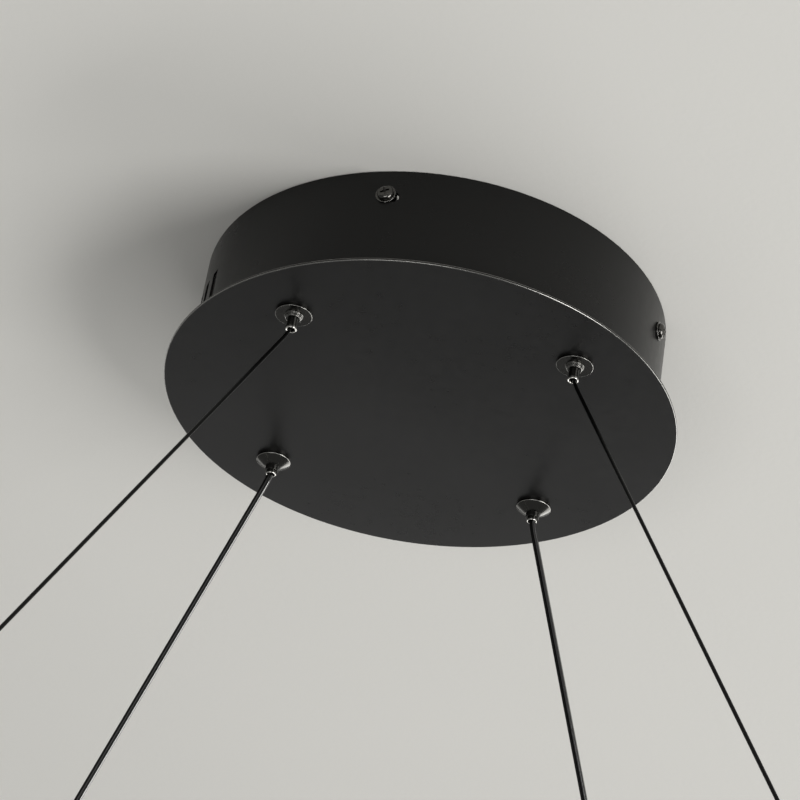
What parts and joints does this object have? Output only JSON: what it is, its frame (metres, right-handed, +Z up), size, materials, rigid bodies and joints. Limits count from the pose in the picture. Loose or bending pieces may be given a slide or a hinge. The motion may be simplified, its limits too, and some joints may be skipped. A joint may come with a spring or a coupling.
{
  "type": "ring chandelier",
  "caption": "Black ceiling canopy with cable grippers whose taut wires fan outwards to a level ring of light with an opal inner cover.",
  "frame": {"origin": "middle of the bracket's top face, on the ceiling plane", "axes": "+Z points up into the ceiling, and the four grippers stand in a square whose sides run along X and Y"},
  "size_m": [1, 0.9998, 0.813],
  "materials": {
    "bracket_steel": "bright zinc plating",
    "screw_steel": "black oxide, slightly glossy",
    "black_paint": "fine matt black powder coat",
    "gripper_metal": "black nickel on turned brass",
    "plunger_metal": "black nickel, worn bright at the ring end",
    "spring_steel": "bright spring steel",
    "wire_coat": "black coating on steel wire, slightly glossy",
    "lead_coat": "glossy black sheath",
    "driver_case": "matt white moulding",
    "terminal_block": "pale polyamide",
    "core_sheath": "dark insulation",
    "opal_cover": "opal, satin",
    "board": "white solder mask",
    "grommet": "black rubber"
  },
  "bodies": {
    "bracket": {"ceiling_bracket": "bracket_steel", "side_screws": "screw_steel"},
    "canopy": {"canopy_drum": "black_paint", "canopy_plate": "black_paint", "wire_gripper_bodies": "gripper_metal", "lead_gripper_bodies": "gripper_metal", "gripper_caps": "gripper_metal", "flange_nuts": "gripper_metal", "lead_cones": "gripper_metal", "driver_cradle": "bracket_steel", "led_driver": "driver_case", "mains_terminal": "terminal_block", "output_terminal": "terminal_block", "mains_cores": "core_sheath", "output_cores": "core_sheath", "wire_tails": "wire_coat", "inner_lead_3": "lead_coat", "inner_lead_4": "lead_coat"},
    "plunger_1": {"plunger_1": "plunger_metal", "plunger_spring_1": "spring_steel"},
    "plunger_2": {"plunger_2": "plunger_metal", "plunger_spring_2": "spring_steel"},
    "plunger_3": {"plunger_3": "plunger_metal", "plunger_spring_3": "spring_steel"},
    "plunger_4": {"plunger_4": "plunger_metal", "plunger_spring_4": "spring_steel"},
    "ring": {"suspension_wire_1": "wire_coat", "suspension_wire_2": "wire_coat", "suspension_wire_3": "wire_coat", "suspension_wire_4": "wire_coat", "power_lead_3": "lead_coat", "power_lead_4": "lead_coat", "ring_channel_near": "black_paint", "ring_channel_far": "black_paint", "diffuser_near": "opal_cover", "diffuser_far": "opal_cover", "ring_joiners": "bracket_steel", "led_boards": "board", "wire_anchors": "gripper_metal", "wire_barrels": "gripper_metal", "lead_grommets": "grommet"}
  },
  "joints": [
    {"name": "canopy_turn", "type": "hinge", "parent": "bracket", "child": "canopy", "pos_m": [0, 0, 0], "axis": [0, 0, 1], "range_deg": [-1.7, 0]},
    {"name": "ring_height", "type": "slide", "parent": "canopy", "child": "ring", "axis": [0, 0, 1], "range_m": [0, 0.25], "deforming": ["suspension_wire_1", "suspension_wire_2", "suspension_wire_3", "suspension_wire_4", "power_lead_3", "power_lead_4"]},
    {"name": "plunger_press_1", "type": "slide", "parent": "canopy", "child": "plunger_1", "axis": [0, 0, 1], "range_m": [0, 0.0025], "stiffness_N_per_m": 800, "springref_m": -0.004, "deforming": ["plunger_spring_1"]},
    {"name": "plunger_press_2", "type": "slide", "parent": "canopy", "child": "plunger_2", "axis": [0, 0, 1], "range_m": [0, 0.0025], "stiffness_N_per_m": 800, "springref_m": -0.004, "deforming": ["plunger_spring_2"]},
    {"name": "plunger_press_3", "type": "slide", "parent": "canopy", "child": "plunger_3", "axis": [0, 0, 1], "range_m": [0, 0.001], "stiffness_N_per_m": 800, "springref_m": -0.004, "deforming": ["plunger_spring_3"]},
    {"name": "plunger_press_4", "type": "slide", "parent": "canopy", "child": "plunger_4", "axis": [0, 0, 1], "range_m": [0, 0.001], "stiffness_N_per_m": 800, "springref_m": -0.004, "deforming": ["plunger_spring_4"]}
  ]
}
